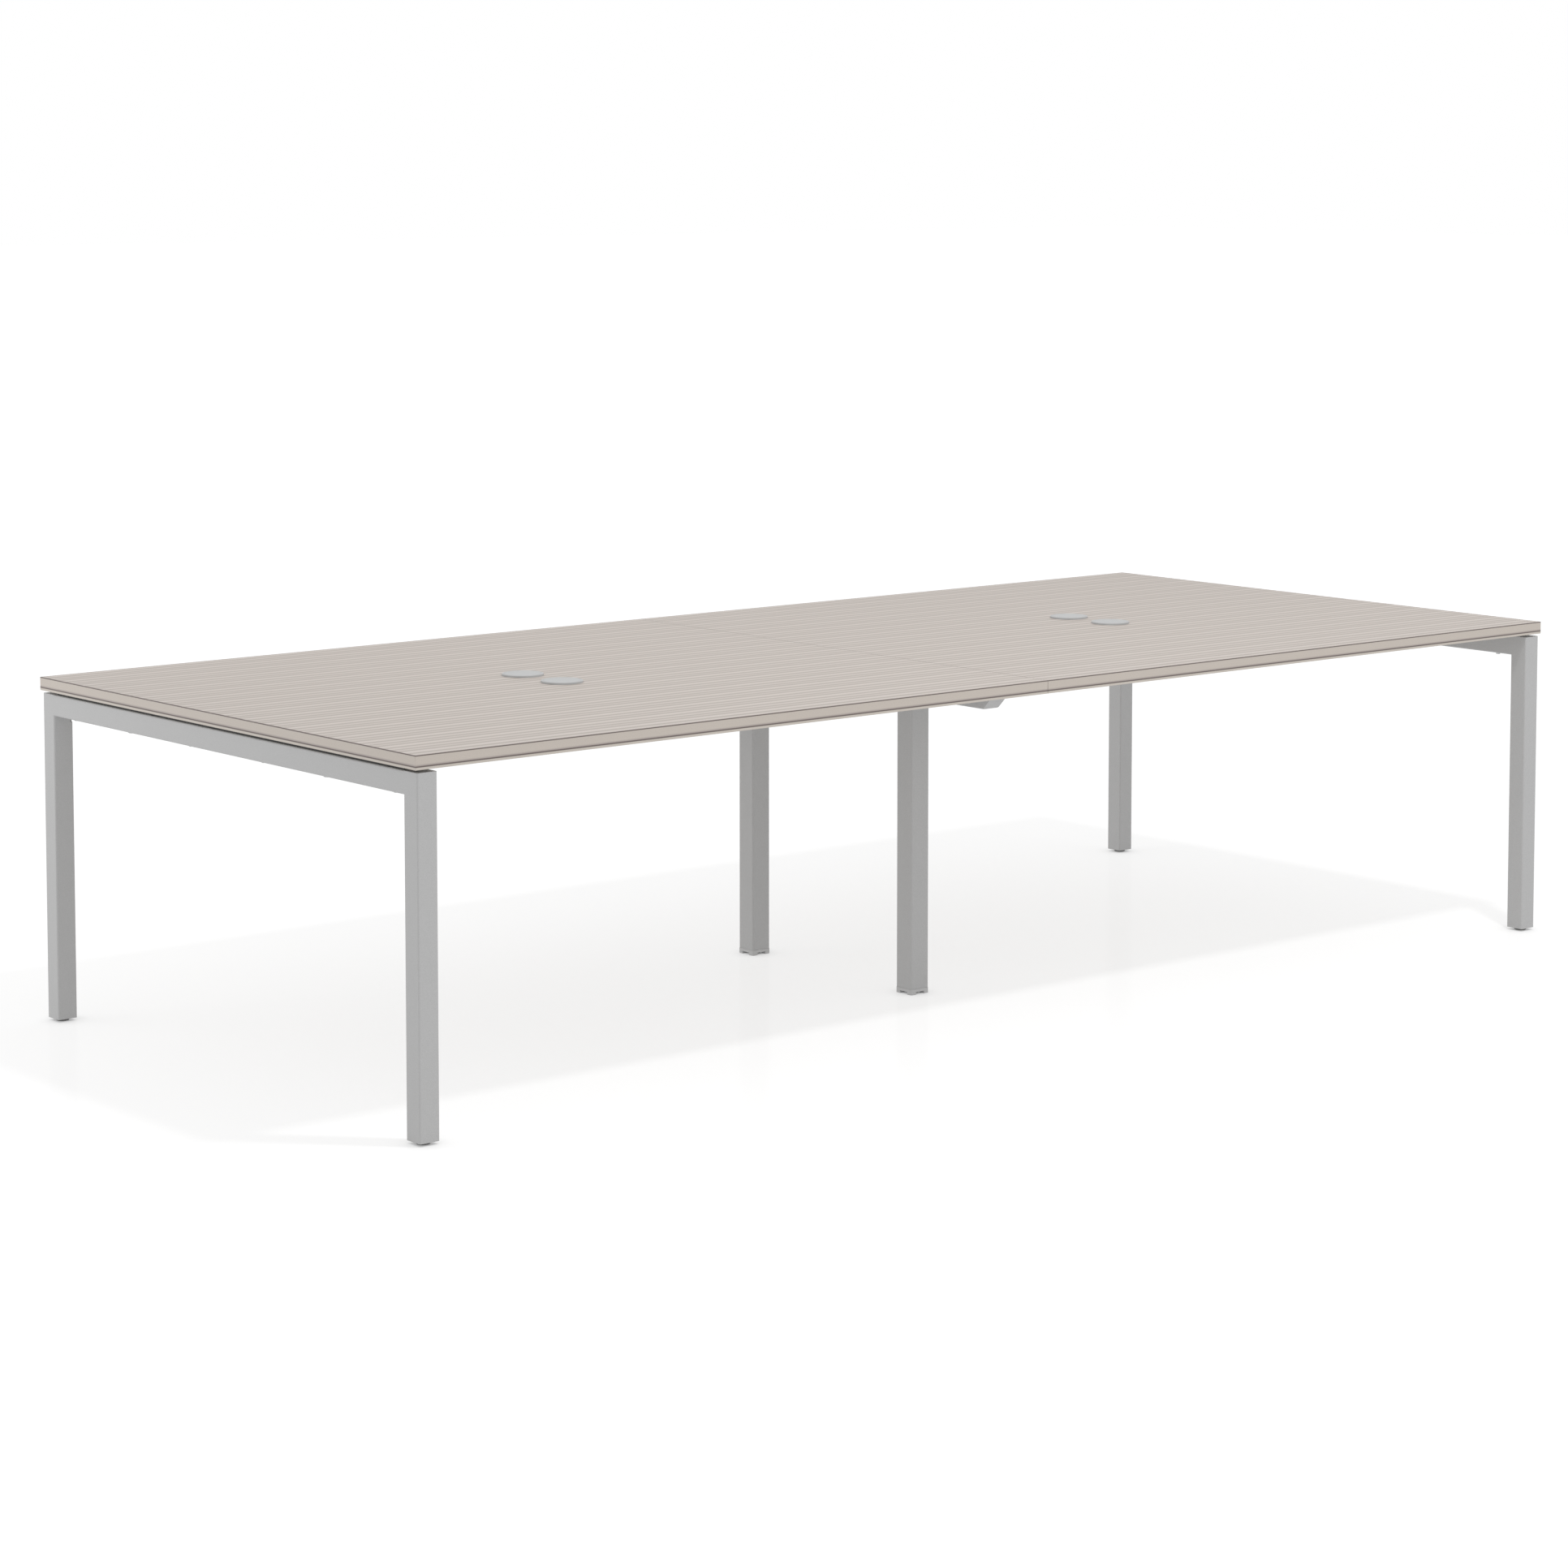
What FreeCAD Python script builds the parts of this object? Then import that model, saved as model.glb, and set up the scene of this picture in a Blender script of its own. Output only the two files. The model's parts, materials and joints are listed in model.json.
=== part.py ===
import FreeCAD, Part
import math
import os

# Coworking desk for four people: two tops on two end frames and one mid frame.
# Millimetres. X runs along the desk, Y across it with the front edge at -Y, Z up from the floor.
# The origin is on the floor under the middle of the desk.

# Overall size
desk_length = 3200.0
desk_depth = 1400.0
desk_height = 735.0

# Tops
top_thickness = 28.0
band_thickness = 2.0
band_arris = 0.8
seam_gap = 1.0

# End frames and mid beam, square tube
tube_size = 45.0
tube_wall = 2.0
tube_corner = 3.5
end_inset_x = 5.5
end_inset_y = 2.5
shadow_gap = 6.0
vent_width = 6.0
vent_height = 16.0
top_plug_height = 15.0
foot_plug_height = 25.0
plug_clearance = 0.05

# Mid frame
mid_leg_size = 50.0
mid_leg_wall = 2.0
mid_leg_corner = 3.5
mid_leg_offset = 274.0
mid_head_thickness = 4.0
mid_beam_setback = 177.0
mid_beam_slant_degrees = 45.0
mid_cap_thickness = 3.0
mid_cap_spigot = 12.0

# Shoes under the mid legs
shoe_height = 12.0
shoe_proud = 0.75
shoe_notch_width = 23.5
shoe_notch_height = 6.0
shoe_spigot_height = 25.0
shoe_cavity_clearance = 3.0

# Levelling feet
pad_diameter = 27.0
pad_height = 5.7
pad_chamfer = 1.0
pad_sole = 1.7
stud_diameter = 8.0
stud_length = 44.0
stud_chamfer = 1.0
stop_gap = 0.3
running_clearance = 0.05
mid_pad_recess = 0.4

# Rails along the desk
rail_width = 30.0
rail_height = 40.0
rail_wall = 2.0
rail_corner = 2.5
end_plate_thickness = 4.0
end_plate_corner = 4.0
end_plate_margin = 5.0

# Bolts and weld nuts of the rails
bolt_diameter = 8.0
bolt_across_flats = 13.0
bolt_head_height = 5.3
bolt_head_margin = 6.0
bolt_protrusion = 2.0
nut_height = 6.5
hole_clearance = 0.3
thread_clearance = 0.05

# Screws that hold the tops down
screw_diameter = 6.0
screw_head_diameter = 10.5
screw_head_height = 4.3
screw_head_round = 1.5
screw_socket_width = 4.0
screw_socket_depth = 2.4
screw_washer_diameter = 14.0
screw_washer_height = 1.2
screw_bite = 16.0
screw_tip_gap = 1.0
fixing_inner_y = 136.0
fixing_end_margin = 57.0
rail_fixing_margin = 200.0
rail_fixings = 3

# Hole plugs under the end beams
beam_plug_head_diameter = 20.0
beam_plug_head_height = 4.4
beam_plug_round = 1.6
beam_plug_stem_diameter = 15.0
beam_plug_stem_height = 6.0

# Spacers in the gap under the tops
strip_side_margin = 6.0
strip_end_margin = 8.0
strip_edge_wall = 1.2
rail_spacer_length = 60.0

# Cable grommets
grommet_spacing = 140.0
grommet_hole_diameter = 80.0
flange_lip = 4.5
flange_round = 2.0
liner_depth = 26.0
liner_wall = 2.2
liner_clearance = 0.3
ledge_height = 2.0
cap_thickness = 2.4
cap_round = 0.3
cap_clearance = 0.3
cap_seat_gap = 0.2
slot_width = 24.0
slot_depth = 15.0
slot_step = 1.5
insert_rim_thickness = 1.2
insert_clearance = 0.3
insert_seat_gap = 0.2

# Heights and places that follow from the sizes above
half_length = desk_length / 2
half_depth = desk_depth / 2
top_underside = desk_height - top_thickness
frame_top = top_underside - shadow_gap
beam_bottom = frame_top - tube_size
beam_middle = frame_top - tube_size / 2
rail_bottom = frame_top - rail_height
rail_middle = frame_top - rail_height / 2
leg_bottom = pad_height + stop_gap
leg_x = half_length - end_inset_x - tube_size / 2
leg_y = half_depth - end_inset_y - tube_size / 2
beam_half = leg_y - tube_size / 2
beam_inner_x = leg_x - tube_size / 2
tube_inner = tube_size - 2 * tube_wall
tube_inner_corner = max(tube_corner - tube_wall, 0)
mid_leg_inner = mid_leg_size - 2 * mid_leg_wall
mid_leg_inner_corner = max(mid_leg_corner - mid_leg_wall, 0)
mid_beam_reach = half_depth - mid_beam_setback
mid_beam_slant = tube_size / math.tan(math.radians(mid_beam_slant_degrees))
mid_pad_top = mid_pad_recess + pad_height
bolt_spread = rail_width / 2 + bolt_head_margin + bolt_across_flats / 2
end_plate_width = 2 * (bolt_spread + bolt_across_flats / 2 + end_plate_margin)
rail_start = tube_size / 2 + end_plate_thickness
rail_end = beam_inner_x - end_plate_thickness
fixing_outer_y = beam_half - fixing_end_margin
fixing_plug_y = (fixing_inner_y + fixing_outer_y) / 2
mid_fixing_inner_y = mid_leg_offset / 2
mid_fixing_outer_y = (mid_leg_offset + mid_beam_reach) / 2
screw_hole_radius = screw_diameter / 2 + hole_clearance
strip_width = tube_size - 2 * strip_side_margin
mid_fixing_x = strip_width / 2 - screw_hole_radius - strip_edge_wall
screw_tip = top_underside + screw_bite
grommet_x = half_length / 2
flange_diameter = grommet_hole_diameter + 2 * flange_lip
liner_outer = grommet_hole_diameter - 2 * liner_clearance
liner_inner = liner_outer - 2 * liner_wall
cap_diameter = liner_outer - 2 * cap_clearance
ledge_top = desk_height + ledge_height
cap_low = ledge_top + cap_seat_gap
cap_high = cap_low + cap_thickness
slot_centre = cap_diameter / 2 - slot_depth + slot_width / 2
insert_rim_low = cap_high - insert_rim_thickness
slot_step_high = insert_rim_low - insert_seat_gap

SIDES = {"left": -1, "right": 1}
ENDS = {"front": -1, "rear": 1}

X_AXIS = FreeCAD.Vector(1, 0, 0)
Y_AXIS = FreeCAD.Vector(0, 1, 0)
Z_AXIS = FreeCAD.Vector(0, 0, 1)


# Building blocks

def at(x, y, z):
    return FreeCAD.Vector(x, y, z)


def upright_box(x1, x2, y1, y2, z1, z2):
    """A box between two X, two Y and two Z places, given in either order."""
    corner = at(min(x1, x2), min(y1, y2), min(z1, z2))
    return Part.makeBox(abs(x2 - x1), abs(y2 - y1), abs(z2 - z1), corner)


def rounded_face(width, depth, corner):
    """A rectangle round the origin in the XY plane, with rounded corners where it has any."""
    a = width / 2
    b = depth / 2
    if corner == 0:
        return Part.makePlane(width, depth, at(-a, -b, 0))
    turn = corner * (1 - math.sqrt(0.5))
    edges = []
    for sx, sy in ((1, 1), (-1, 1), (-1, -1), (1, -1)):
        beside = at(sx * a, sy * (b - corner), 0)
        middle = at(sx * (a - turn), sy * (b - turn), 0)
        above = at(sx * (a - corner), sy * b, 0)
        ends = (beside, above) if sx * sy > 0 else (above, beside)
        if edges:
            edges.append(Part.makeLine(last, ends[0]))
        edges.append(Part.Arc(ends[0], middle, ends[1]).toShape())
        last = ends[1]
    edges.append(Part.makeLine(last, at(a, b - corner, 0)))
    return Part.Face(Part.Wire(edges))


def bar(width, depth, corner, length):
    """A solid bar standing on the XY plane."""
    return rounded_face(width, depth, corner).extrude(at(0, 0, length))


def tube(width, depth, corner, wall, length):
    """A tube standing on the XY plane, open at both ends."""
    inside = bar(width - 2 * wall, depth - 2 * wall, max(corner - wall, 0), length)
    return bar(width, depth, corner, length).cut(inside)


def lay_along_x(shape, x, y, z):
    """Lay an upright bar down along +X from the given end point, its width across Y."""
    shape.rotate(at(0, 0, 0), Z_AXIS, 90)
    shape.rotate(at(0, 0, 0), Y_AXIS, 90)
    shape.translate(at(x, y, z))
    return shape


def lay_along_y(shape, x, y, z):
    """Lay an upright bar down along +Y from the given end point, its width across X."""
    shape.rotate(at(0, 0, 0), X_AXIS, -90)
    shape.translate(at(x, y, z))
    return shape


def stand(shape, x, y, z):
    shape.translate(at(x, y, z))
    return shape


def rod(diameter, x, y, low, high):
    """A round upright rod between two heights."""
    return Part.makeCylinder(diameter / 2, high - low, at(x, y, low))


def cross_rod(diameter, x, y, z, length):
    """A round rod along X from the given end, backwards where the length is negative."""
    direction = X_AXIS if length > 0 else X_AXIS.negative()
    return Part.makeCylinder(diameter / 2, abs(length), at(x, y, z), direction)


def hexagon(across_flats, length):
    """A hexagonal prism standing on the XY plane."""
    radius = across_flats / math.sqrt(3)
    turns = [k * math.pi / 3 for k in range(7)]
    corners = [at(radius * math.cos(turn), radius * math.sin(turn), 0) for turn in turns]
    return Part.Face(Part.makePolygon(corners)).extrude(at(0, 0, length))


def round_edges(shape, radius, wanted):
    """Round the edges that the test picks by the box that they fill."""
    edges = [e for e in shape.Edges if wanted(e.BoundBox)]
    return shape.makeFillet(radius, edges)


def near(value, goal):
    return abs(value - goal) < 1e-4


def save(name, solids):
    shape = solids[0] if len(solids) == 1 else Part.makeCompound(solids)
    shape.exportStep("parts/" + name + ".step")


# Places of the repeated pieces

def rail_fixing_places(side):
    first = rail_start + rail_fixing_margin
    last = rail_end - rail_fixing_margin
    step = (last - first) / (rail_fixings - 1)
    return [side * (first + k * step) for k in range(rail_fixings)]


def screw_places(side):
    """Each screw of one top: its place and the height of the face under its head."""
    places = []
    for end in ENDS.values():
        for y in (fixing_inner_y, fixing_outer_y):
            places.append((side * leg_x, end * y, beam_bottom))
        for y in (mid_fixing_inner_y, mid_fixing_outer_y):
            places.append((side * mid_fixing_x, end * y, beam_bottom))
        for x in rail_fixing_places(side):
            places.append((x, end * mid_leg_offset, rail_bottom))
    return places


def screw_holes(side):
    return [rod(2 * screw_hole_radius, x, y, 0, top_underside) for x, y, low in screw_places(side)]


def bolt_places():
    """Each rail bolt: the face that its plate sits on, its Y place and the way that it points."""
    places = []
    for side in SIDES.values():
        for end in ENDS.values():
            for spread in (-bolt_spread, bolt_spread):
                y = end * mid_leg_offset + spread
                places.append((side * beam_inner_x, y, side))
                places.append((side * tube_size / 2, y, -side))
    return places


def bolt_holes():
    width = bolt_diameter + 2 * hole_clearance
    reach = tube_wall + end_plate_thickness
    return [cross_rod(width, x - way * end_plate_thickness, y, rail_middle, way * reach)
            for x, y, way in bolt_places()]


def grommet_places(side):
    return [(side * grommet_x, end * grommet_spacing / 2) for end in ENDS.values()]


# Tops and edge bands

def top_panel(side):
    outer_x = side * (half_length - band_thickness)
    inner_x = side * (seam_gap / 2 + band_thickness)
    side_y = half_depth - band_thickness
    panel = upright_box(outer_x, inner_x, -side_y, side_y, top_underside, desk_height)
    cuts = [rod(grommet_hole_diameter, x, y, top_underside, desk_height)
            for x, y in grommet_places(side)]
    pilot = screw_diameter + 2 * thread_clearance
    for x, y, low in screw_places(side):
        cuts.append(rod(pilot, x, y, top_underside, screw_tip + screw_tip_gap))
    return panel.cut(cuts)


def edge_band(side):
    """Four strips round one top, rounded along the edges that face outwards."""
    arris = min(band_arris, band_thickness / 2)
    outer_x = side * half_length
    inner_x = side * seam_gap / 2
    strips = []
    for end in ENDS.values():
        face_y = end * half_depth
        back_y = end * (half_depth - band_thickness)
        strip = upright_box(outer_x, inner_x, face_y, back_y, top_underside, desk_height)

        def faces_out(b):
            on_face = near(b.YMin, face_y) and near(b.YMax, face_y)
            on_end = near(b.XMin, outer_x) and near(b.XMax, outer_x)
            flat = near(b.ZLength, 0)
            return flat and (on_face or on_end) or on_face and on_end

        strips.append(round_edges(strip, arris, faces_out))
    side_y = half_depth - band_thickness
    strip = upright_box(outer_x, side * (half_length - band_thickness), -side_y, side_y,
                        top_underside, desk_height)
    strips.append(round_edges(strip, arris, lambda b: near(b.XMin, outer_x) and near(b.XMax, outer_x)
                              and near(b.ZLength, 0)))
    strips.append(upright_box(inner_x, inner_x + side * band_thickness, -side_y, side_y,
                              top_underside, desk_height))
    return strips


# End frames

def leg_outline(side, end):
    return stand(bar(tube_size, tube_size, tube_corner, frame_top - leg_bottom),
                 side * leg_x, end * leg_y, leg_bottom)


def end_leg(side, end):
    leg = stand(tube(tube_size, tube_size, tube_corner, tube_wall, frame_top - leg_bottom),
                side * leg_x, end * leg_y, leg_bottom)
    if end < 0:
        return leg
    vent = upright_box(side * beam_inner_x, side * (beam_inner_x + vent_width),
                       beam_half, beam_half + vent_width, beam_bottom - vent_height, beam_bottom)
    return leg.cut(vent)


def end_beam(side):
    """The beam is coped to the rounded edges of its two legs, so the welded frame is flush."""
    half = beam_half + tube_corner
    beam = lay_along_y(tube(tube_size, tube_size, tube_corner, tube_wall, 2 * half),
                       side * leg_x, -half, beam_middle)
    cuts = [leg_outline(side, end) for end in ENDS.values()]
    cuts += screw_holes(side)
    cuts += bolt_holes()
    for x, y in beam_plug_places(side):
        cuts.append(rod(beam_plug_stem_diameter + 2 * plug_clearance, x, y, beam_bottom,
                        beam_bottom + tube_wall))
    return beam.cut(cuts)


def beam_plug_places(side):
    return [(side * leg_x, end * fixing_plug_y) for end in ENDS.values()]


def beam_plug(x, y):
    head = rod(beam_plug_head_diameter, x, y, beam_bottom - beam_plug_head_height, beam_bottom)
    head = round_edges(head, beam_plug_round, lambda b: near(b.ZMax, beam_bottom - beam_plug_head_height))
    return head.fuse(rod(beam_plug_stem_diameter, x, y, beam_bottom, beam_bottom + beam_plug_stem_height))


def leg_plug(side, end, low, height):
    size = tube_inner - 2 * plug_clearance
    return stand(bar(size, size, tube_inner_corner, height), side * leg_x, end * leg_y, low)


def foot_plug(side, end):
    bore = stud_diameter + 2 * running_clearance
    plug = leg_plug(side, end, leg_bottom, foot_plug_height)
    return plug.cut(rod(bore, side * leg_x, end * leg_y, leg_bottom, leg_bottom + foot_plug_height))


# Mid frame

def mid_leg(end):
    length = beam_bottom - mid_head_thickness - shoe_height
    return stand(tube(mid_leg_size, mid_leg_size, mid_leg_corner, mid_leg_wall, length),
                 0, end * mid_leg_offset, shoe_height)


def mid_leg_head(end):
    return stand(bar(mid_leg_size, mid_leg_size, mid_leg_corner, mid_head_thickness),
                 0, end * mid_leg_offset, beam_bottom - mid_head_thickness)


def mid_beam_half(depth_in):
    """Half the length along the bottom of the mid beam, drawn in by a depth square to the slant."""
    return mid_beam_reach - depth_in / math.sin(math.radians(mid_beam_slant_degrees))


def mid_beam_block(depth_in):
    """The space between the slanted ends of the mid beam, drawn in by a depth square to the slant."""
    low = mid_beam_half(depth_in)
    high = low + mid_beam_slant
    corners = [at(-tube_size, -low, beam_bottom), at(-tube_size, low, beam_bottom),
               at(-tube_size, high, frame_top), at(-tube_size, -high, frame_top),
               at(-tube_size, -low, beam_bottom)]
    return Part.Face(Part.makePolygon(corners)).extrude(at(2 * tube_size, 0, 0))


def mid_beam():
    half = mid_beam_reach + mid_beam_slant
    beam = lay_along_y(tube(tube_size, tube_size, tube_corner, tube_wall, 2 * half), 0, -half, beam_middle)
    cuts = bolt_holes()
    for side in SIDES.values():
        cuts += screw_holes(side)
    return beam.common(mid_beam_block(mid_cap_thickness)).cut(cuts)


def mid_beam_cap(end):
    """A slanted cover with a spigot that plugs the cut end of the mid beam."""
    half = mid_beam_reach + mid_beam_slant
    cover = lay_along_y(bar(tube_size, tube_size, tube_corner, half), 0, -half, beam_middle)
    cover = cover.common(mid_beam_block(0)).cut(mid_beam_block(mid_cap_thickness))
    size = tube_inner - 2 * plug_clearance
    spigot = lay_along_y(bar(size, size, tube_inner_corner, half), 0, -half, beam_middle)
    spigot = spigot.common(mid_beam_block(mid_cap_thickness))
    spigot = spigot.cut(mid_beam_block(mid_cap_thickness + mid_cap_spigot))
    cap = cover.fuse(spigot)
    if end > 0:
        cap = cap.mirror(at(0, 0, 0), Y_AXIS)
    return cap.Solids[0]


def mid_shoe(end):
    y = end * mid_leg_offset
    size = mid_leg_size + 2 * shoe_proud
    shoe = stand(bar(size, size, mid_leg_corner + shoe_proud, shoe_height), 0, y, 0)
    spigot_size = mid_leg_inner - 2 * plug_clearance
    spigot_top = shoe_height + shoe_spigot_height
    spigot = bar(spigot_size, spigot_size, mid_leg_inner_corner, shoe_spigot_height)
    shoe = shoe.fuse(stand(spigot, 0, y, shoe_height))
    cavity = pad_diameter + 2 * shoe_cavity_clearance
    half_notch = shoe_notch_width / 2
    cuts = [rod(cavity, 0, y, 0, mid_pad_top + stop_gap),
            rod(stud_diameter + 2 * running_clearance, 0, y, 0, spigot_top),
            upright_box(-size, size, y - half_notch, y + half_notch, 0, shoe_notch_height),
            upright_box(-half_notch, half_notch, y - size, y + size, 0, shoe_notch_height)]
    return shoe.cut(cuts)


# Levelling feet

def foot_pad(x, y, low):
    pad = rod(pad_diameter, x, y, low, low + pad_height)
    pad = pad.makeChamfer(pad_chamfer, [e for e in pad.Edges if near(e.BoundBox.ZMax, low)])
    return pad.cut(rod(stud_diameter + 2 * running_clearance, x, y, low + pad_sole, low + pad_height))


def foot_stud(x, y, low):
    foot = low + pad_sole + running_clearance
    stud = rod(stud_diameter, x, y, foot, foot + stud_length)
    tip = [e for e in stud.Edges if near(e.BoundBox.ZMin, foot + stud_length)]
    return stud.makeChamfer(stud_chamfer, tip)


# Rails with their plates, bolts and nuts

def rail(side, end):
    length = rail_end - rail_start
    start = min(side * rail_start, side * rail_end)
    shape = lay_along_x(tube(rail_width, rail_height, rail_corner, rail_wall, length),
                        start, end * mid_leg_offset, rail_middle)
    return shape.cut(screw_holes(side))


def end_plates():
    plates = []
    for side in SIDES.values():
        for end in ENDS.values():
            for start in (tube_size / 2, rail_end):
                low = min(side * start, side * (start + end_plate_thickness))
                plate = lay_along_x(bar(end_plate_width, rail_height, end_plate_corner, end_plate_thickness),
                                    low, end * mid_leg_offset, rail_middle)
                plates.append(plate.cut(bolt_holes()))
    return plates


def rail_bolt(face, y, way):
    """A hexagon bolt: its head lies on the plate and its shank goes through the tube's wall."""
    under_head = face - way * end_plate_thickness
    length = end_plate_thickness + tube_wall + nut_height + bolt_protrusion
    head_start = min(under_head, under_head - way * bolt_head_height)
    head = lay_along_x(hexagon(bolt_across_flats, bolt_head_height), head_start, y, rail_middle)
    return head.fuse(cross_rod(bolt_diameter, under_head, y, rail_middle, way * length))


def rail_nut(face, y, way):
    inside = face + way * tube_wall
    start = min(inside, inside + way * nut_height)
    nut = lay_along_x(hexagon(bolt_across_flats, nut_height), start, y, rail_middle)
    return nut.cut(cross_rod(bolt_diameter + 2 * thread_clearance, inside, y, rail_middle, way * nut_height))


# Screws and spacers under the tops

def top_screw(x, y, low):
    head_low = low - screw_washer_height - screw_head_height
    head = rod(screw_head_diameter, x, y, head_low, low - screw_washer_height)
    head = round_edges(head, screw_head_round, lambda b: near(b.ZMax, head_low))
    head = head.cut(stand(hexagon(screw_socket_width, screw_socket_depth), x, y, head_low))
    washer = rod(screw_washer_diameter, x, y, low - screw_washer_height, low)
    return head.fuse([washer, rod(screw_diameter, x, y, low, screw_tip)])


def spacer_strip(x, half, holes):
    strip = upright_box(x - strip_width / 2, x + strip_width / 2, -half, half, frame_top, top_underside)
    return strip.cut(holes)


def rail_spacers():
    spacers = []
    for side in SIDES.values():
        holes = screw_holes(side)
        for end in ENDS.values():
            for x in rail_fixing_places(side):
                y = end * mid_leg_offset
                spacer = upright_box(x - rail_spacer_length / 2, x + rail_spacer_length / 2,
                                     y - rail_width / 2, y + rail_width / 2, frame_top, top_underside)
                spacers.append(spacer.cut(holes))
    return spacers


# Cable grommets

def grommet_liner(x, y):
    """A flange on the top and a sleeve through it. The cap lies on a ledge, flush with the flange."""
    flange = rod(flange_diameter, x, y, desk_height, cap_high)
    flange = round_edges(flange, flange_round, lambda b: near(b.ZMin, cap_high))
    sleeve = rod(liner_outer, x, y, desk_height - liner_depth, desk_height)
    cuts = [rod(liner_inner, x, y, desk_height - liner_depth, cap_high),
            rod(liner_outer, x, y, ledge_top, cap_high)]
    return flange.fuse(sleeve).cut(cuts)


def slot_space(x, y, inset, reach, low, high):
    """The space of a cap's cable slot, drawn in by the inset: from its round end to an arc at the reach."""
    half = slot_width / 2 - inset
    middle = y + slot_centre
    mouth = y + math.sqrt(reach ** 2 - half ** 2)
    edges = [Part.makeLine(at(x + half, middle, low), at(x + half, mouth, low)),
             Part.Arc(at(x + half, mouth, low), at(x, y + reach, low), at(x - half, mouth, low)).toShape(),
             Part.makeLine(at(x - half, mouth, low), at(x - half, middle, low)),
             Part.Arc(at(x - half, middle, low), at(x, middle - half, low), at(x + half, middle, low)).toShape()]
    return Part.Face(Part.Wire(edges)).extrude(at(0, 0, high - low))


def grommet_cap(x, y):
    """A disc with a cable slot on its rear side, stepped all round for the rim of its insert."""
    disc = rod(cap_diameter, x, y, cap_low, cap_high)
    disc = disc.cut([slot_space(x, y, 0, cap_diameter, slot_step_high, cap_high),
                     slot_space(x, y, slot_step, cap_diameter, cap_low, slot_step_high)])
    return round_edges(disc, cap_round, lambda b: near(b.ZMin, cap_high))


def grommet_insert(x, y):
    """A cover that fills the slot, flush with the cap, and lifts out to let cables through."""
    rim = slot_space(x, y, insert_clearance, cap_diameter / 2, insert_rim_low, cap_high)
    rim = round_edges(rim, cap_round, lambda b: near(b.ZMin, cap_high))
    return rim.fuse(slot_space(x, y, slot_step + insert_clearance, cap_diameter / 2, cap_low, insert_rim_low))


# Build and write every piece

os.makedirs("parts", exist_ok=True)

for side_name, side in SIDES.items():
    save("top_panel_" + side_name, [top_panel(side)])
    save("edge_band_" + side_name, edge_band(side))
    save("beam_" + side_name, [end_beam(side)])
    save("spacer_strip_" + side_name,
         [spacer_strip(side * leg_x, beam_half - strip_end_margin, screw_holes(side))])
    for end_name, end in ENDS.items():
        place = end_name + "_" + side_name
        save("leg_" + place, [end_leg(side, end)])
        save("rail_" + place, [rail(side, end)])
        save("foot_pad_" + place, [foot_pad(side * leg_x, end * leg_y, 0)])
        save("foot_stud_" + place, [foot_stud(side * leg_x, end * leg_y, 0)])
        x, y = side * grommet_x, end * grommet_spacing / 2
        save("grommet_liner_" + place, [grommet_liner(x, y)])
        save("grommet_cap_" + place, [grommet_cap(x, y)])
        save("grommet_insert_" + place, [grommet_insert(x, y)])

for end_name, end in ENDS.items():
    save("mid_leg_" + end_name, [mid_leg(end)])
    save("mid_beam_cap_" + end_name, [mid_beam_cap(end)])
    save("mid_shoe_" + end_name, [mid_shoe(end)])
    save("foot_pad_" + end_name + "_mid", [foot_pad(0, end * mid_leg_offset, mid_pad_recess)])
    save("foot_stud_" + end_name + "_mid", [foot_stud(0, end * mid_leg_offset, mid_pad_recess)])

corners = [(side, end) for side in SIDES.values() for end in ENDS.values()]
all_screw_places = [place for side in SIDES.values() for place in screw_places(side)]
all_plug_places = [place for side in SIDES.values() for place in beam_plug_places(side)]
mid_holes = [hole for side in SIDES.values() for hole in screw_holes(side)]
mid_strip_half = mid_beam_half(mid_cap_thickness) + mid_beam_slant - strip_end_margin

save("mid_beam", [mid_beam()])
save("mid_leg_heads", [mid_leg_head(end) for end in ENDS.values()])
save("leg_top_plugs", [leg_plug(side, end, frame_top - top_plug_height, top_plug_height)
                       for side, end in corners])
save("leg_foot_plugs", [foot_plug(side, end) for side, end in corners])
save("beam_plugs", [beam_plug(x, y) for x, y in all_plug_places])
save("rail_end_plates", end_plates())
save("rail_bolts", [rail_bolt(face, y, way) for face, y, way in bolt_places()])
save("rail_nuts", [rail_nut(face, y, way) for face, y, way in bolt_places()])
save("top_screws", [top_screw(x, y, low) for x, y, low in all_screw_places])
save("spacer_strip_mid", [spacer_strip(0, mid_strip_half, mid_holes)])
save("rail_spacers", rail_spacers())
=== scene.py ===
import json
import math

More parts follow.
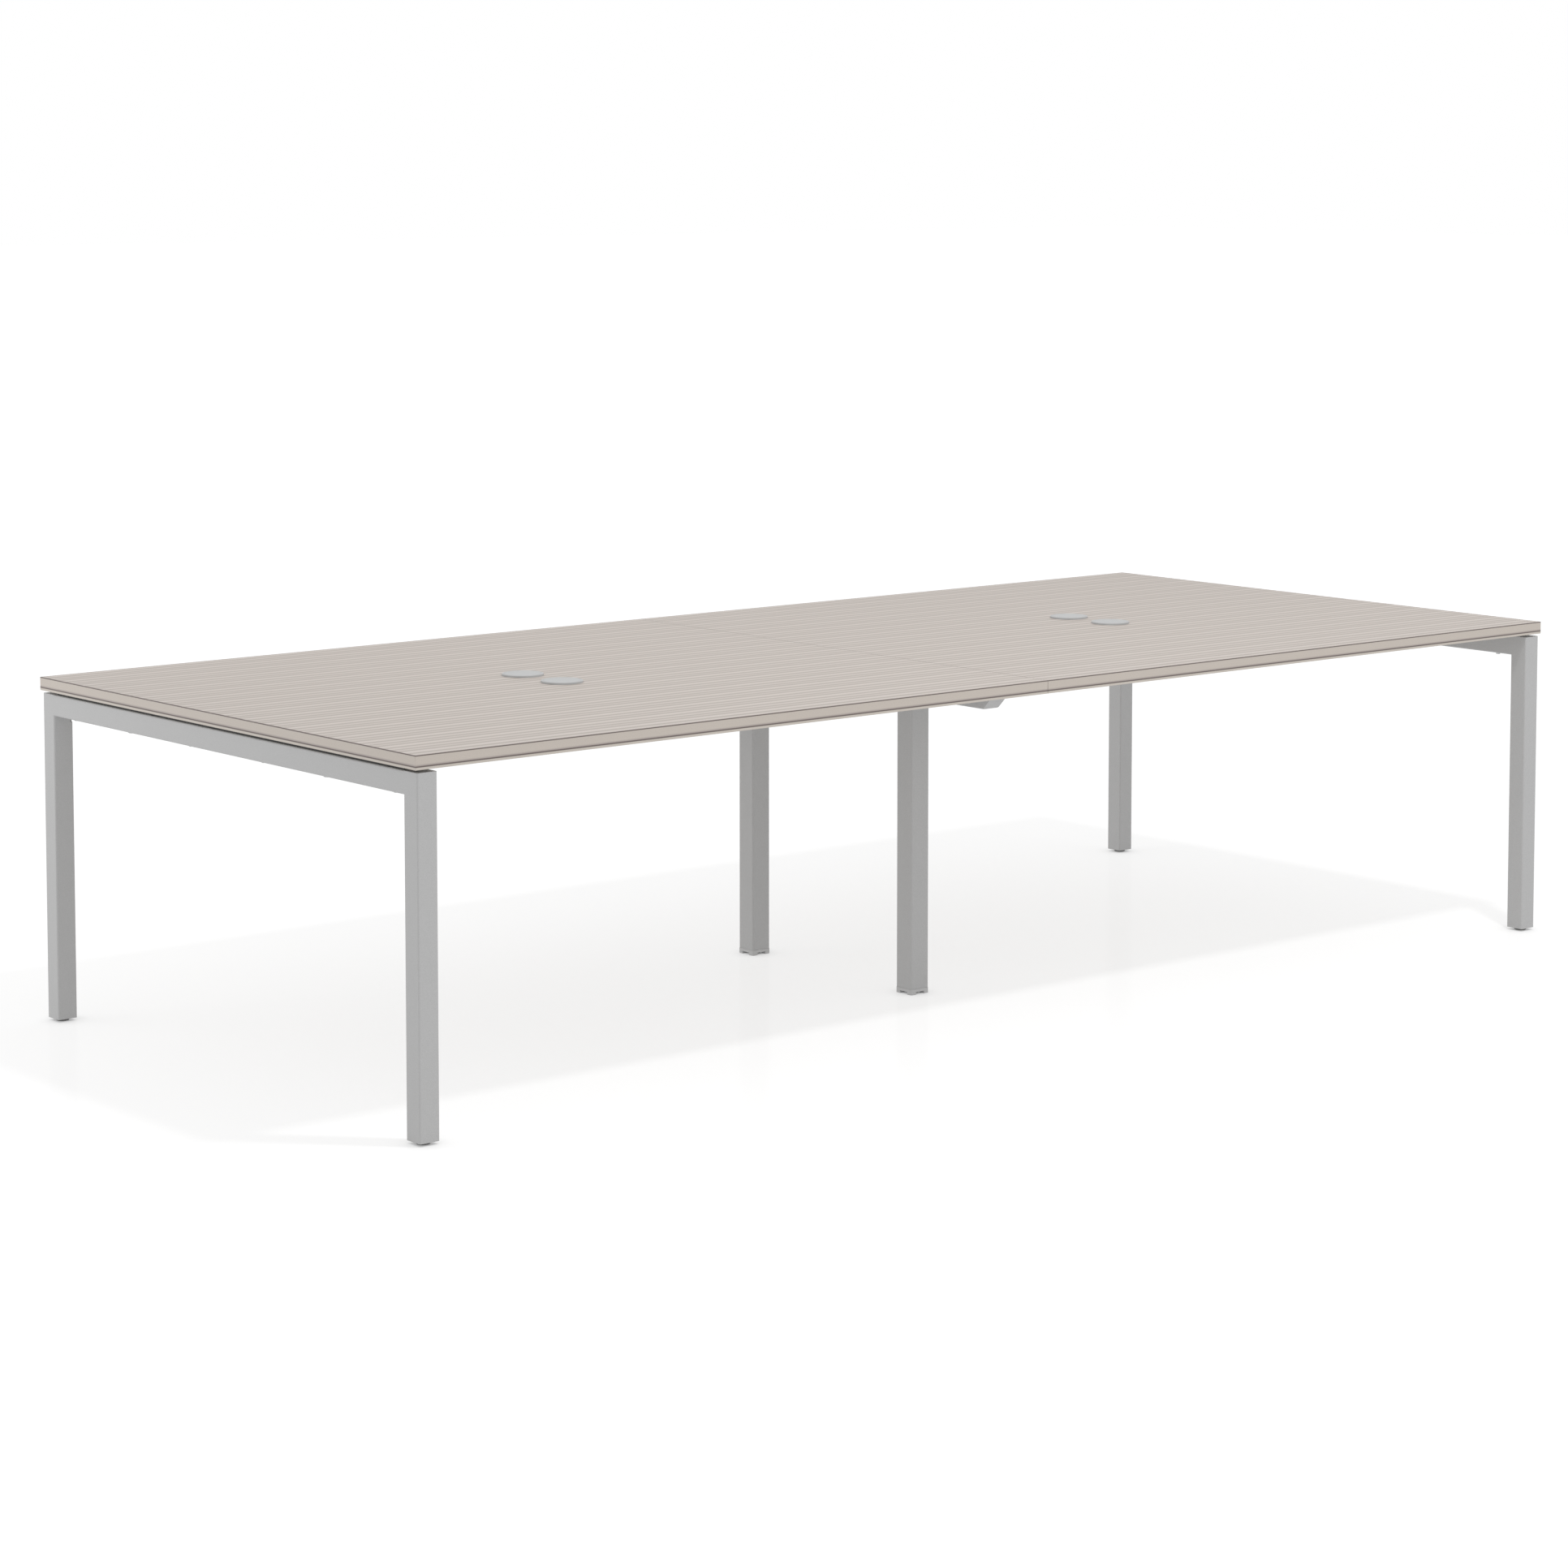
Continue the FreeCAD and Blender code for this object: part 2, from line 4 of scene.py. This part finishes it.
import bmesh
import bpy
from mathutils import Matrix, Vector

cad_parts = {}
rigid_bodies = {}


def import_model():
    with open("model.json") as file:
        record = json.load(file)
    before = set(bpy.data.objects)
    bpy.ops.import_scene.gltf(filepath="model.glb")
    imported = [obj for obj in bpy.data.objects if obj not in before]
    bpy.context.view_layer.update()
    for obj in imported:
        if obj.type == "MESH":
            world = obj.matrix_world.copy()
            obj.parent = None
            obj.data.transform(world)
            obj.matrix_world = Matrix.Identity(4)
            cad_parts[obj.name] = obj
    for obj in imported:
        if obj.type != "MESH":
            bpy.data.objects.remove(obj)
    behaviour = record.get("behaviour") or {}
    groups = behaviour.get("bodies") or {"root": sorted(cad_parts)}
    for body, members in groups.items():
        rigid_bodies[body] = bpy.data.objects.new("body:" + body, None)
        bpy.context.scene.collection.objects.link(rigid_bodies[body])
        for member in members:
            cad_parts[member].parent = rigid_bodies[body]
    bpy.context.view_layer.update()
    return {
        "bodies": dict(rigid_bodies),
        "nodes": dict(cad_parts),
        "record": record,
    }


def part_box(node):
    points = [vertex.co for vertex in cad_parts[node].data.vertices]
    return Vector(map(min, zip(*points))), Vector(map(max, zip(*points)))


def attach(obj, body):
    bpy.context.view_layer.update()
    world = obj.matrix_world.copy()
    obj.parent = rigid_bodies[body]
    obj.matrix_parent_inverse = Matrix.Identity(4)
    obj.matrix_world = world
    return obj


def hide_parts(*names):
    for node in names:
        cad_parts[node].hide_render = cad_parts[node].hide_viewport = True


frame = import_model()

# Camera: metres, degrees, millimetres for lens and sensor, and the shift as a share of the square image
camera_place = (-5.624, -6.6109, 1.8465)
camera_yaw = 50.3166
camera_dip = 4.7016
camera_lens = 89.779
camera_shift = -0.2
sensor_width = 36.0

# Light: metres and watts
ambient = 0.74
key_place = Vector((0.33, -2.7, 5.67))
key_size = 0.4
key_power = 95.0
panel_width = 4.0
panel_height = 3.0
left_panel_place = Vector((-3.4, 3.2, 1.4))
left_panel_power = 31.0
right_panel_place = Vector((3.0, -4.0, 1.5))
right_panel_power = 4.0

# Floor, which glows so that it shows as white with a pale shadow
floor_reach = 60.0
floor_colour = 0.39
floor_near_glow = 0.687
floor_far_glow = 0.76
floor_unseen_glow = 0.64
floor_near_radius = 2.2
floor_far_radius = 5.0
# Reach and strength of the painted contact shadow, which darkens the floor's glow near what stands on it
floor_contact_shade_reach = 0.040
floor_contact_shade_power = 0.3
floor_gloss = 0.035
floor_gloss_roughness = 0.12

# Desk sizes that the finishes follow
desk_top = 0.735
board_thickness = 0.028
seam_reach = 0.003

# Stripes of the laminate, across the desk
stripe_start = -0.673
stripe_repeat = 0.079
stripe_lines = (0.0, 0.031, 0.053)
stripe_gap_light = (1.0, 0.45, 0.85)
stripe_line_half = 0.0035
stripe_line_fade = 0.0035

# Woodgrain: lengths along the desk, across it and upwards, and shares of the tone
streak_size = (1.4, 0.006, 0.05)
streak_spread = 0.045
fibre_size = (0.11, 0.0011, 0.05)
fibre_spread = 0.11
pore_size = (0.022, 0.0005, 0.05)
pore_low = 0.66
pore_high = 0.74
pore_strength = 0.22
pore_relief = 0.8
waver_size = (0.7, 0.08, 0.05)
waver_reach = 0.0012

# Lines of the edge band, below the top face: painted shade along the rounded top arris, a dark line low down,
# and a lighter foot
band_arris_shade = 0.0015
band_arris_shade_end = 0.0024
band_low_fade = 0.0168
band_low_fade_end = 0.0203
band_low_line = 0.0207
band_low_line_end = 0.0227
band_foot_start = 0.0235

# Colours, as 8-bit screen values
stripe_dark = (165, 155, 146)
stripe_soft = (187, 178, 171)
stripe_light = (203, 194, 187)
pore_brown = (134, 122, 113)
backing_grey = (196, 190, 183)
chip_dark = (132, 98, 66)
chip_middle = (176, 140, 98)
chip_light = (205, 176, 134)
band_plain = (199, 190, 181)
# band_line is the dark of the painted shade along the top arris, and of the line low down
band_line = (112, 102, 98)
band_line_edge = (164, 154, 150)
band_foot = (202, 194, 185)
paint_grey = (187, 187, 187)
cap_grey = (187, 187, 187)
shoe_grey = (196, 196, 196)
foot_grey = (130, 130, 130)
# Black of the spacers and plugs. On the spacers under the tops, it also stands in for the shade in the narrow
# gap above the frames
spacer_black_and_gap_shade = (34, 34, 34)
grommet_grey = (179, 180, 180)
zinc_cool = (176, 180, 186)
zinc_warm = (194, 193, 188)

# Threads of the levelling studs
thread_pitch = 0.00125
thread_depth = 0.00077
thread_flank = 1.15
thread_steps = 8
thread_segments = 32
thread_chamfer = 0.0010


def srgb(values):
    """The linear colour of an 8-bit screen colour."""
    linear = []
    for value in values:
        share = value / 255
        linear.append(share / 12.92 if share <= 0.04045 else ((share + 0.055) / 1.055) ** 2.4)
    return (*linear, 1.0)


def between(first, second, share):
    """The colour that lies the given share of the way from first to second."""
    return tuple(a + (b - a) * share for a, b in zip(first, second))


class Finish:
    """A procedural material on one Principled shader, laid out in the piece's own rest coordinates."""

    def __init__(self, name, roughness, metallic=0.0, specular=0.5):
        self.material = bpy.data.materials.new(name)
        self.material.use_nodes = True
        self.nodes = self.material.node_tree.nodes
        self.links = self.material.node_tree.links
        self.shader = self.nodes["Principled BSDF"]
        self.shader.inputs["Roughness"].default_value = roughness
        self.shader.inputs["Metallic"].default_value = metallic
        self.shader.inputs["Specular IOR Level"].default_value = specular
        coords = self.nodes.new("ShaderNodeTexCoord")
        self.place = coords.outputs["Object"]
        self.facing = coords.outputs["Normal"]

    def feed(self, socket, value):
        if isinstance(value, bpy.types.NodeSocket):
            self.links.new(value, socket)
        else:
            socket.default_value = value

    def maths(self, operation, first, second=0.0):
        node = self.nodes.new("ShaderNodeMath")
        node.operation = operation
        self.feed(node.inputs[0], first)
        self.feed(node.inputs[1], second)
        return node.outputs[0]

    def axis(self, vector, name):
        node = self.nodes.new("ShaderNodeSeparateXYZ")
        self.links.new(vector, node.inputs[0])
        return node.outputs[name]

    def step(self, value, low, high):
        """0 below low and 1 above high, with a smooth rise between them."""
        node = self.nodes.new("ShaderNodeMapRange")
        node.interpolation_type = "SMOOTHSTEP"
        self.feed(node.inputs["Value"], value)
        node.inputs["From Min"].default_value = low
        node.inputs["From Max"].default_value = high
        return node.outputs["Result"]

    def stretched(self, across):
        """The place in units of the given lengths, one for each axis."""
        node = self.nodes.new("ShaderNodeVectorMath")
        node.operation = "DIVIDE"
        self.links.new(self.place, node.inputs[0])
        node.inputs[1].default_value = across
        return node.outputs["Vector"]

    def noise(self, across, detail=2.0, roughness=0.5):
        """Noise with features of about the given lengths, one for each axis."""
        node = self.nodes.new("ShaderNodeTexNoise")
        self.links.new(self.stretched(across), node.inputs["Vector"])
        node.inputs["Scale"].default_value = 1.0
        node.inputs["Detail"].default_value = detail
        node.inputs["Roughness"].default_value = roughness
        return node.outputs["Fac"]

    def cells(self, across):
        """Flat cells of about the given lengths, each with its own random colour."""
        node = self.nodes.new("ShaderNodeTexVoronoi")
        self.links.new(self.stretched(across), node.inputs["Vector"])
        node.inputs["Scale"].default_value = 1.0
        return self.axis(node.outputs["Color"], "X")

    def ramp(self, value, stops):
        node = self.nodes.new("ShaderNodeValToRGB")
        self.links.new(value, node.inputs["Fac"])
        ramp = node.color_ramp
        while len(ramp.elements) < len(stops):
            ramp.elements.new(0.5)
        for element, (position, colour) in zip(ramp.elements, stops):
            element.position = position
            element.color = colour
        return node.outputs["Color"]

    def mix(self, share, first, second, mode="MIX"):
        node = self.nodes.new("ShaderNodeMix")
        node.data_type = "RGBA"
        node.blend_type = mode
        self.feed(node.inputs["Factor"], share)
        self.feed(node.inputs[6], first)
        self.feed(node.inputs[7], second)
        return node.outputs[2]

    def shaded(self, colour, value, spread):
        """The colour made lighter and darker by the spread, as the value goes from 0 to 1."""
        level = self.maths("MULTIPLY_ADD", value, 2 * spread)
        level.node.inputs[2].default_value = 1 - spread
        grey = self.nodes.new("ShaderNodeCombineXYZ")
        for socket in grey.inputs:
            self.links.new(level, socket)
        return self.mix(1.0, colour, grey.outputs[0], "MULTIPLY")

    def colour(self, value):
        self.feed(self.shader.inputs["Base Color"], value)

    def bump(self, height, distance):
        node = self.nodes.new("ShaderNodeBump")
        node.inputs["Distance"].default_value = distance
        self.links.new(height, node.inputs["Height"])
        self.links.new(node.outputs["Normal"], self.shader.inputs["Normal"])

    def rough(self, value, low, high):
        """A roughness that goes from low to high with the value."""
        node = self.maths("MULTIPLY_ADD", value, high - low).node
        node.inputs[2].default_value = low
        self.links.new(node.outputs[0], self.shader.inputs["Roughness"])


def stripe_colours(dark, soft, light):
    """The stops of one repeat of the stripes: a dark line at each start, and a lighter middle in each gap."""
    stops = []
    ends = stripe_lines[1:] + (stripe_repeat,)
    for start, end, lightness in zip(stripe_lines, ends, stripe_gap_light):
        shoulder = stripe_line_half + stripe_line_fade
        stops.append((start, dark))
        stops.append((start + shoulder, soft))
        stops.append(((start + end) / 2, between(soft, light, lightness)))
        stops.append((end - shoulder, soft))
    stops.append((stripe_repeat, dark))
    return [(place / stripe_repeat, colour) for place, colour in stops]


def woodgrain(finish):
    """The printed stripes along the desk, with the relief of their grain."""
    streaks = finish.noise(streak_size, detail=3.0)
    fibres = finish.noise(fibre_size, detail=3.0, roughness=0.6)
    pores = finish.noise(pore_size, detail=1.0)
    waver = finish.noise(waver_size, detail=1.0)
    across = finish.maths("SUBTRACT", finish.axis(finish.place, "Y"), stripe_start)
    across = finish.maths("ADD", across, finish.maths("MULTIPLY", waver, waver_reach))
    turn = finish.maths("FRACT", finish.maths("DIVIDE", across, stripe_repeat))
    stripes = finish.ramp(turn, stripe_colours(srgb(stripe_dark), srgb(stripe_soft), srgb(stripe_light)))
    stripes = finish.shaded(stripes, streaks, streak_spread)
    stripes = finish.shaded(stripes, fibres, fibre_spread)
    pits = finish.step(pores, pore_low, pore_high)
    wood = finish.mix(finish.maths("MULTIPLY", pits, pore_strength), stripes, srgb(pore_brown))
    relief = finish.maths("SUBTRACT", fibres, finish.maths("MULTIPLY", pits, pore_relief))
    return wood, relief, fibres


def laminate():
    """Striped woodgrain on the upper face, plain backing below, and chipboard in the cut edges and holes."""
    finish = Finish("board_laminate", roughness=0.5, specular=0.5)
    wood, relief, fibres = woodgrain(finish)

    backing = finish.shaded(srgb(backing_grey), finish.noise((0.004, 0.004, 0.004), detail=4.0), 0.05)
    chips = finish.ramp(finish.cells((0.0026, 0.0026, 0.0011)),
                        [(0.0, srgb(chip_dark)), (0.55, srgb(chip_middle)), (1.0, srgb(chip_light))])
    upward = finish.axis(finish.facing, "Z")
    cut = finish.mix(finish.step(upward, -0.75, -0.65), backing, chips)
    finish.colour(finish.mix(finish.step(upward, 0.65, 0.75), cut, wood))

    finish.bump(relief, distance=0.00006)
    finish.rough(fibres, 0.44, 0.58)
    return finish.material


def edge_band():
    """A thin plastic band with painted shade along the rounded top arris, and a dark line low down, over a
    lighter foot.
    Where the two tops meet, the stripes go on over it."""
    finish = Finish("edge_band", roughness=0.45, specular=0.3)
    plain = srgb(band_plain)
    line = srgb(band_line)
    foot = srgb(band_foot)
    depth = finish.maths("SUBTRACT", desk_top, finish.axis(finish.place, "Z"))
    share = finish.maths("DIVIDE", depth, board_thickness)
    # the first stops paint shade along the rounded top arris as a dark line
    depths = [(0.0, line), (band_arris_shade, line), (band_arris_shade_end, plain), (band_low_fade, plain),
              (band_low_fade_end, srgb(band_line_edge)), (band_low_line, line), (band_low_line_end, line),
              (band_foot_start, foot), (board_thickness, foot)]
    lines = finish.ramp(share, [(place / board_thickness, colour) for place, colour in depths])
    streaks = finish.noise((0.5, 0.5, 0.0009), detail=3.0)
    grain = finish.noise((0.0018, 0.0018, 0.0014), detail=2.0)
    band = finish.shaded(finish.shaded(lines, streaks, 0.03), grain, 0.09)
    from_seam = finish.maths("ABSOLUTE", finish.axis(finish.place, "X"))
    inner = finish.maths("LESS_THAN", from_seam, seam_reach)
    top_face = finish.maths("GREATER_THAN", finish.axis(finish.facing, "Z"), 0.9)
    wood, _, _ = woodgrain(finish)
    finish.colour(finish.mix(finish.maths("MULTIPLY", inner, top_face), band, wood))
    finish.bump(grain, distance=0.00003)
    finish.rough(streaks, 0.40, 0.52)
    return finish.material


def silver_paint():
    """Fine speckled silver powder coat."""
    finish = Finish("silver_paint", roughness=0.5, specular=0.35)
    flakes = finish.noise((0.0014, 0.0014, 0.0014), detail=2.0, roughness=0.7)
    sparks = finish.cells((0.0009, 0.0009, 0.0009))
    cloud = finish.noise((0.06, 0.06, 0.09), detail=2.0)
    peel = finish.noise((0.0025, 0.0025, 0.0025), detail=2.0)
    coat = finish.shaded(srgb(paint_grey), flakes, 0.13)
    coat = finish.shaded(coat, sparks, 0.05)
    finish.colour(finish.shaded(coat, cloud, 0.012))
    finish.bump(peel, distance=0.00012)
    finish.rough(sparks, 0.42, 0.58)
    return finish.material


def moulded(name, colour, roughness, grain_size=0.0008, spread=0.04):
    """Moulded plastic with a fine spark-eroded grain."""
    finish = Finish(name, roughness, specular=0.4)
    grain = finish.noise((grain_size,) * 3, detail=3.0, roughness=0.6)
    flow = finish.noise((0.02, 0.02, 0.02), detail=2.0)
    finish.colour(finish.shaded(finish.shaded(srgb(colour), grain, spread), flow, 0.02))
    finish.bump(grain, distance=0.00003)
    finish.rough(flow, roughness - 0.05, roughness + 0.05)
    return finish.material


def zinc_steel():
    """Bright zinc plating with fine drawn lines and a faint blue cast."""
    finish = Finish("zinc_steel", roughness=0.3, metallic=1.0)
    drawn = finish.noise((0.0004, 0.0004, 0.006), detail=3.0)
    cloud = finish.noise((0.004, 0.004, 0.004), detail=2.0)
    tint = finish.mix(cloud, srgb(zinc_cool), srgb(zinc_warm))
    finish.colour(finish.shaded(tint, drawn, 0.06))
    finish.bump(drawn, distance=0.00002)
    finish.rough(cloud, 0.24, 0.38)
    return finish.material


finishes = {
    "board_laminate": laminate(),
    "edge_band": edge_band(),
    "silver_paint": silver_paint(),
    "cap_plastic": moulded("cap_plastic", cap_grey, 0.45),
    "shoe_plastic": moulded("shoe_plastic", shoe_grey, 0.42),
    "foot_plastic": moulded("foot_plastic", foot_grey, 0.5, grain_size=0.0011),
    "zinc_steel": zinc_steel(),
    # black plastic, whose black on the spacers also stands in for the shade in the gap under the tops
    "black_plastic": moulded("black_plastic", spacer_black_and_gap_shade, 0.5, spread=0.12),
    "grommet_plastic": moulded("grommet_plastic", grommet_grey, 0.42),
}

for subpart in frame["record"]["subparts"]:
    for slot in frame["nodes"][subpart["node"]].material_slots:
        slot.material = finishes[subpart["material_slot"]]


def threaded_stud(name, low, high):
    """A stud with a single-start thread, between the low and high corners of its box."""
    middle = (low + high) / 2
    outer = (high.x - low.x) / 2
    rings = round((high.z - low.z) / thread_pitch * thread_steps)
    mesh = bmesh.new()
    grid = []
    for ring in range(rings + 1):
        rise = (high.z - low.z) * ring / rings
        end_gap = min(rise, high.z - low.z - rise)
        limit = outer - max(thread_chamfer - end_gap, 0)
        row = []
        for segment in range(thread_segments):
            turn = segment / thread_segments
            phase = (rise / thread_pitch - turn) % 1
            flank = min(abs(phase - 0.5) * 2 * thread_flank, 1.0)
            reach = min(outer - thread_depth * flank, limit)
            angle = turn * math.tau
            row.append(mesh.verts.new((middle.x + reach * math.cos(angle), middle.y + reach * math.sin(angle),
                                       low.z + rise)))
        grid.append(row)
    for lower, upper in zip(grid, grid[1:]):
        for segment in range(thread_segments):
            after = (segment + 1) % thread_segments
            face = mesh.faces.new((lower[segment], lower[after], upper[after], upper[segment]))
            face.smooth = True
    mesh.faces.new(list(reversed(grid[0])))
    mesh.faces.new(grid[-1])
    data = bpy.data.meshes.new(name)
    mesh.to_mesh(data)
    mesh.free()
    piece = bpy.data.objects.new(name, data)
    bpy.context.scene.collection.objects.link(piece)
    return piece


for body in frame["bodies"]:
    if body.startswith("foot_stud_"):
        stud = threaded_stud(body.replace("foot_stud", "threaded_stud"), *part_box(body))
        stud.data.materials.append(finishes["zinc_steel"])
        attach(stud, body)
        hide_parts(body)


def seen_rays(nodes, links):
    """1 for the rays that show the surroundings to the camera, directly or in a reflection."""
    path = nodes.new("ShaderNodeLightPath")
    seen = path.outputs["Is Camera Ray"]
    for name in ("Is Glossy Ray", "Is Transmission Ray"):
        node = nodes.new("ShaderNodeMath")
        node.operation = "MAXIMUM"
        links.new(seen, node.inputs[0])
        links.new(path.outputs[name], node.inputs[1])
        seen = node.outputs[0]
    return seen


def surroundings():
    """An even soft light all round, shown as white."""
    world = bpy.data.worlds.new("studio")
    world.use_nodes = True
    nodes, links = world.node_tree.nodes, world.node_tree.links
    light = nodes["Background"]
    light.inputs["Color"].default_value = (1, 1, 1, 1)
    light.inputs["Strength"].default_value = ambient
    shown = nodes.new("ShaderNodeBackground")
    shown.inputs["Color"].default_value = (1, 1, 1, 1)
    shown.inputs["Strength"].default_value = 1.0
    mix = nodes.new("ShaderNodeMixShader")
    links.new(seen_rays(nodes, links), mix.inputs[0])
    links.new(light.outputs[0], mix.inputs[1])
    links.new(shown.outputs[0], mix.inputs[2])
    links.new(mix.outputs[0], nodes["World Output"].inputs["Surface"])
    bpy.context.scene.world = world


def floor_finish():
    """A glowing white floor with a pale shadow, a painted contact shadow that darkens its glow where
    something touches it, and a faint gloss.
    It shows brighter than it lights the desk."""
    material = bpy.data.materials.new("floor")
    material.use_nodes = True
    material.cycles.emission_sampling = "NONE"
    nodes, links = material.node_tree.nodes, material.node_tree.links
    nodes.remove(nodes["Principled BSDF"])
    shaded = nodes.new("ShaderNodeBsdfDiffuse")
    shaded.inputs["Color"].default_value = (floor_colour, floor_colour, floor_colour, 1)
    coords = nodes.new("ShaderNodeTexCoord")
    away = nodes.new("ShaderNodeVectorMath")
    away.operation = "LENGTH"
    links.new(coords.outputs["Object"], away.inputs[0])
    level = nodes.new("ShaderNodeMapRange")
    level.interpolation_type = "SMOOTHSTEP"
    links.new(away.outputs["Value"], level.inputs["Value"])
    level.inputs["From Min"].default_value = floor_near_radius
    level.inputs["From Max"].default_value = floor_far_radius
    level.inputs["To Min"].default_value = floor_near_glow
    level.inputs["To Max"].default_value = floor_far_glow
    # Painted contact shadow: ambient occlusion darkens the floor's glow near the feet
    contact = nodes.new("ShaderNodeAmbientOcclusion")
    contact.inputs["Distance"].default_value = floor_contact_shade_reach
    painted_contact_shade = nodes.new("ShaderNodeMath")
    painted_contact_shade.operation = "POWER"
    links.new(contact.outputs["AO"], painted_contact_shade.inputs[0])
    painted_contact_shade.inputs[1].default_value = floor_contact_shade_power
    shown = nodes.new("ShaderNodeMapRange")
    links.new(seen_rays(nodes, links), shown.inputs["Value"])
    shown.inputs["To Min"].default_value = floor_unseen_glow
    strength = level.outputs["Result"]
    for share in (painted_contact_shade.outputs[0], shown.outputs["Result"]):
        product = nodes.new("ShaderNodeMath")
        product.operation = "MULTIPLY"
        links.new(strength, product.inputs[0])
        links.new(share, product.inputs[1])
        strength = product.outputs[0]
    glow = nodes.new("ShaderNodeEmission")
    links.new(strength, glow.inputs["Strength"])
    pale = nodes.new("ShaderNodeAddShader")
    links.new(shaded.outputs[0], pale.inputs[0])
    links.new(glow.outputs[0], pale.inputs[1])
    gloss = nodes.new("ShaderNodeBsdfGlossy")
    gloss.inputs["Roughness"].default_value = floor_gloss_roughness
    polished = nodes.new("ShaderNodeMixShader")
    polished.inputs[0].default_value = floor_gloss
    links.new(pale.outputs[0], polished.inputs[1])
    links.new(gloss.outputs[0], polished.inputs[2])
    links.new(polished.outputs[0], nodes["Material Output"].inputs["Surface"])
    return material


def floor():
    corners = [(-floor_reach, -floor_reach, 0), (floor_reach, -floor_reach, 0), (floor_reach, floor_reach, 0),
               (-floor_reach, floor_reach, 0)]
    data = bpy.data.meshes.new("floor")
    data.from_pydata(corners, [], [(0, 1, 2, 3)])
    data.materials.append(floor_finish())
    piece = bpy.data.objects.new("floor", data)
    bpy.context.scene.collection.objects.link(piece)


def lamp(name, place, aim, width, height, power):
    """A soft rectangular light that points at the aim and isn't seen itself."""
    data = bpy.data.lights.new(name, "AREA")
    data.shape = "RECTANGLE"
    data.size = width
    data.size_y = height
    data.energy = power
    light = bpy.data.objects.new(name, data)
    light.location = place
    light.rotation_euler = (aim - place).to_track_quat("-Z", "Y").to_euler()
    light.visible_camera = False
    bpy.context.scene.collection.objects.link(light)


def lamps():
    """A small light from above, and two wide upright panels, which face along the desk and across it."""
    lamp("key", key_place, Vector(), key_size, key_size, key_power)
    along = left_panel_place + Vector((1, 0, 0))
    lamp("left_panel", left_panel_place, along, panel_width, panel_height, left_panel_power)
    across = right_panel_place + Vector((0, 1, 0))
    lamp("right_panel", right_panel_place, across, panel_width, panel_height, right_panel_power)


def camera():
    data = bpy.data.cameras.new("camera")
    data.sensor_width = sensor_width
    data.lens = camera_lens
    data.shift_y = camera_shift
    piece = bpy.data.objects.new("camera", data)
    piece.location = camera_place
    piece.rotation_euler = (math.radians(90 - camera_dip), 0, math.radians(camera_yaw - 90))
    bpy.context.scene.collection.objects.link(piece)
    bpy.context.scene.camera = piece


surroundings()
floor()
lamps()
camera()
bpy.context.scene.view_settings.view_transform = "Standard"
